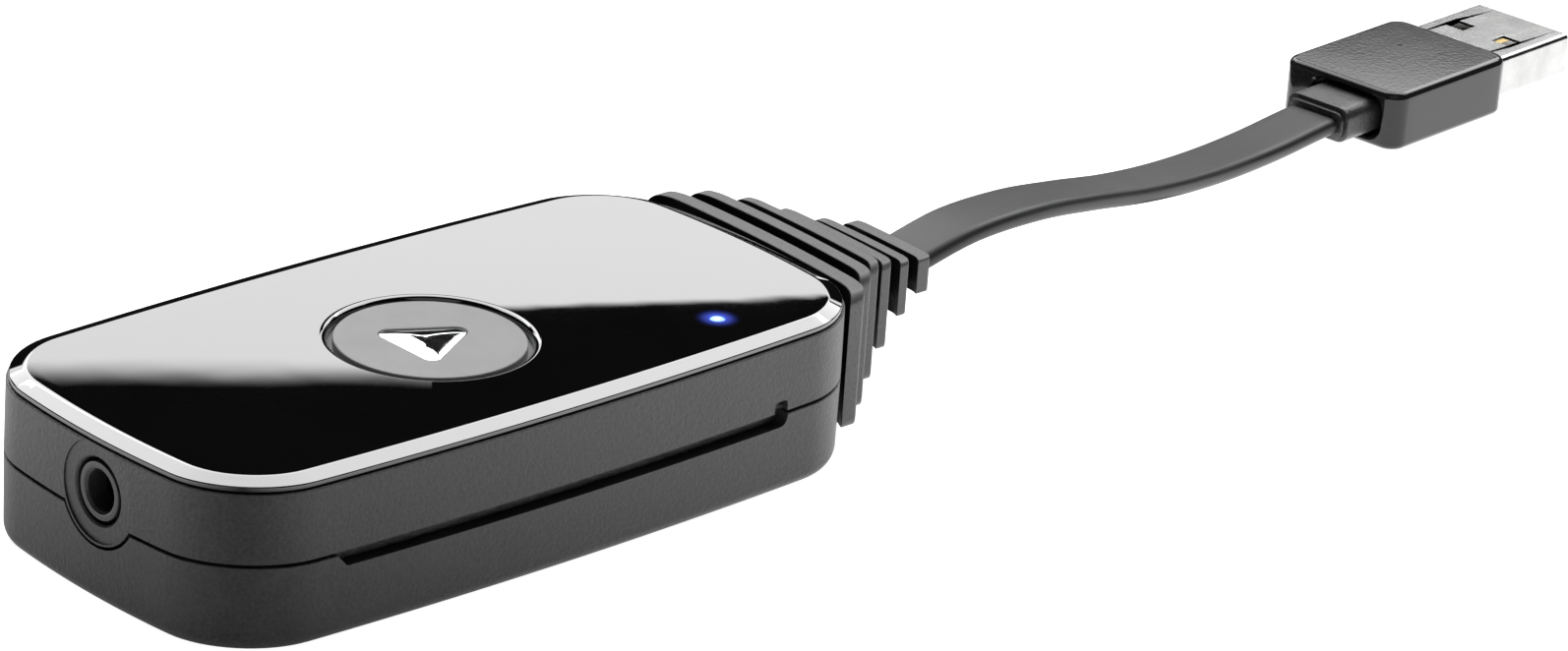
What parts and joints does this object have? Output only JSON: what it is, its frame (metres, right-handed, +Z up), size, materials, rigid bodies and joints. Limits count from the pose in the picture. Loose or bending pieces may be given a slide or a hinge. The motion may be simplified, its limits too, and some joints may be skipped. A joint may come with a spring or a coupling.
{
  "type": "bluetooth audio receiver",
  "caption": "Palm-sized black wireless audio receiver: glossy top plate, round push button, side headphone jack, and a flat captive cable to a USB-A plug.",
  "frame": {"origin": "centre of the casing's base, on the surface it rests on", "axes": "+X from the headphone jack end to the cable end, +Y across the casing towards the side without the slot, +Z up out of the top plate"},
  "size_m": [0.202, 0.0416, 0.0155],
  "materials": {
    "casing_black": "fine-grained matte",
    "plate_black": "piano black, mirror gloss",
    "button_grey": "satin",
    "symbol_chrome": "polished",
    "lamp_blue": "clear, lit blue",
    "relief_rubber": "satin",
    "cable_black": "satin",
    "plug_black": "satin gloss",
    "shell_nickel": "bright nickel plate",
    "tongue_white": "moulded",
    "contact_gold": "gold plated",
    "board_green": "solder mask",
    "chip_black": "moulded",
    "can_steel": "plain",
    "part_white": "ceramic",
    "wire_red": "insulated"
  },
  "bodies": {
    "casing": {"lower_shell": "casing_black", "upper_shell": "casing_black", "top_plate": "plate_black", "switch_base": "chip_black", "lamp_chip": "part_white", "lamp_lens": "lamp_blue", "circuit_board": "board_green", "board_screw_1": "can_steel", "board_screw_2": "can_steel", "radio_module": "board_green", "module_shield": "can_steel", "audio_chip": "chip_black", "power_chip": "chip_black", "crystal": "can_steel", "chip_antenna": "part_white", "filter_coil": "chip_black", "output_capacitor_1": "can_steel", "output_capacitor_2": "can_steel", "supply_capacitor": "can_steel", "jack_barrel": "casing_black", "jack_body": "chip_black", "jack_sleeve_contact": "contact_gold", "jack_ring_contact": "contact_gold", "jack_tip_contact": "contact_gold", "strain_relief": "relief_rubber", "flat_cable": "cable_black", "plug_neck": "relief_rubber", "plug_mould": "plug_black", "usb_shell": "shell_nickel", "usb_tongue": "tongue_white", "usb_contact_1": "contact_gold", "usb_contact_2": "contact_gold", "usb_contact_3": "contact_gold", "usb_contact_4": "contact_gold", "power_wire": "wire_red", "ground_wire": "chip_black"},
    "button": {"button_cap": "button_grey", "play_symbol": "symbol_chrome", "switch_plunger": "can_steel"}
  },
  "joints": [
    {"name": "button_press", "type": "slide", "parent": "casing", "child": "button", "axis": [0, 0, -1], "range_m": [0, 0.0004], "stiffness_N_per_m": 4000}
  ]
}
